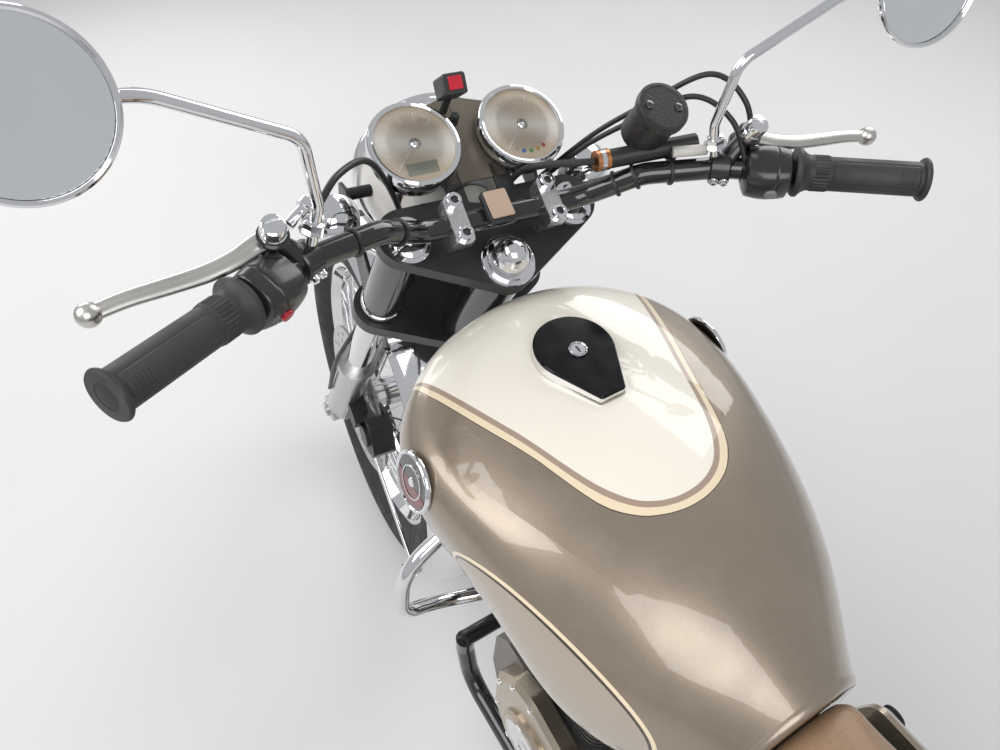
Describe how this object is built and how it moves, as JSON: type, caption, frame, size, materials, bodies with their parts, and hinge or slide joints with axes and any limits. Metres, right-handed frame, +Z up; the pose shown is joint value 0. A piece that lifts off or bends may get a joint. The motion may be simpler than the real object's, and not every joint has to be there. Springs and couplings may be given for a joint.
{
  "type": "cafe racer motorcycle",
  "caption": "Retro motorcycle with raised bars, round gauges, a striped tank with a hinged filler lid, a finned upright engine, wire wheels and a centre stand.",
  "frame": {"origin": "on the floor under the middle of the machine's length and width", "axes": "+X points to the front wheel, +Y to the rider's left, +Z up"},
  "size_m": [2.0864, 0.8459, 1.2579],
  "materials": {
    "frame_black": "gloss",
    "zinc_steel": "satin",
    "shock_chrome": "polished",
    "engine_cast": "satin",
    "cover_polished": "satin",
    "cylinder_cast": "satin",
    "carb_alloy": "satin",
    "airbox_plastic": "matte",
    "panel_paint": "gloss",
    "exhaust_chrome": "polished",
    "tank_paint": "gloss",
    "seat_vinyl": "satin",
    "guard_chrome": "polished",
    "mudguard_chrome": "polished",
    "tail_lens": "gloss",
    "signal_chrome": "polished",
    "chain_steel": "satin",
    "peg_rubber": "matte",
    "lever_steel": "polished",
    "yoke_black": "satin",
    "fork_chrome": "polished",
    "slider_alloy": "satin",
    "bar_black": "gloss",
    "clamp_alloy": "satin",
    "gauge_black": "gloss",
    "plate_bronze": "satin",
    "lamp_white": "gloss",
    "rim_chrome": "polished",
    "lamp_glass": "gloss",
    "switch_plastic": "satin",
    "lever_alloy": "satin",
    "grip_rubber": "matte",
    "mirror_chrome": "polished",
    "mirror_glass": "polished",
    "master_black": "satin",
    "caliper_black": "satin",
    "wheel_alloy": "polished",
    "tyre_rubber": "matte",
    "disc_steel": "satin",
    "sprocket_steel": "satin",
    "cap_dark_chrome": "polished",
    "stand_black": "satin"
  },
  "bodies": {
    "chassis": {"frame_spine": "frame_black", "frame_cradle": "frame_black", "seat_rails": "frame_black", "swingarm": "frame_black", "rear_axle": "zinc_steel", "rear_shocks": "shock_chrome", "engine_case": "engine_cast", "engine_covers": "cover_polished", "cylinder": "cylinder_cast", "carburettor": "carb_alloy", "airbox": "airbox_plastic", "side_covers": "panel_paint", "exhaust": "exhaust_chrome", "fuel_tank": "tank_paint", "seat": "seat_vinyl", "engine_guard": "guard_chrome", "rear_mudguard": "mudguard_chrome", "tail_lamp": "tail_lens", "rear_signals": "signal_chrome", "drive_chain": "chain_steel", "foot_controls": "peg_rubber", "kick_starter": "lever_steel"},
    "steering": {"steering_yokes": "yoke_black", "fork_tubes": "fork_chrome", "fork_sliders": "slider_alloy", "handlebar": "bar_black", "bar_clamps": "clamp_alloy", "gauges": "gauge_black", "gauge_plate": "plate_bronze", "headlight_shell": "lamp_white", "headlight_rim": "rim_chrome", "headlight_glass": "lamp_glass", "switch_housings": "switch_plastic", "control_levers": "lever_alloy", "grips": "grip_rubber", "mirrors": "mirror_chrome", "mirror_glasses": "mirror_glass", "master_cylinder": "master_black", "front_signals": "signal_chrome", "front_mudguard": "mudguard_chrome", "brake_caliper": "caliper_black"},
    "front_wheel_set": {"front_wheel": "wheel_alloy", "front_tyre": "tyre_rubber", "front_disc": "disc_steel"},
    "rear_wheel_set": {"rear_wheel": "wheel_alloy", "rear_tyre": "tyre_rubber", "rear_sprocket": "sprocket_steel"},
    "fuel_cap": {"fuel_cap": "cap_dark_chrome"},
    "centre_stand": {"centre_stand": "stand_black"},
    "side_stand": {"side_stand": "stand_black"}
  },
  "joints": [
    {"name": "steering_turn", "type": "hinge", "parent": "chassis", "child": "steering", "pos_m": [0.34868, 0, 0.915], "axis": [-0.4618, 0, 0.887], "range_deg": [-31.4, 44.6]},
    {"name": "front_wheel_spin", "type": "hinge", "parent": "steering", "child": "front_wheel_set", "pos_m": [0.7097, -0.00584, 0.33084], "axis": [0.102, 0.9934, 0.0531], "continuous": true},
    {"name": "rear_wheel_spin", "type": "hinge", "parent": "chassis", "child": "rear_wheel_set", "pos_m": [-0.7, 0, 0.346], "axis": [0, 1, 0], "continuous": true},
    {"name": "fuel_cap_hinge", "type": "hinge", "parent": "chassis", "child": "fuel_cap", "pos_m": [0.264, 0, 0.8975], "axis": [0, 1, 0], "range_deg": [0, 80]},
    {"name": "centre_stand_fold", "type": "hinge", "parent": "chassis", "child": "centre_stand", "pos_m": [-0.27, 0, 0.236], "axis": [0, 1, 0], "range_deg": [0, 82]},
    {"name": "side_stand_swing", "type": "hinge", "parent": "chassis", "child": "side_stand", "pos_m": [-0.16, 0.14, 0.214], "axis": [0, 1, 0], "range_deg": [-100, 0]}
  ]
}
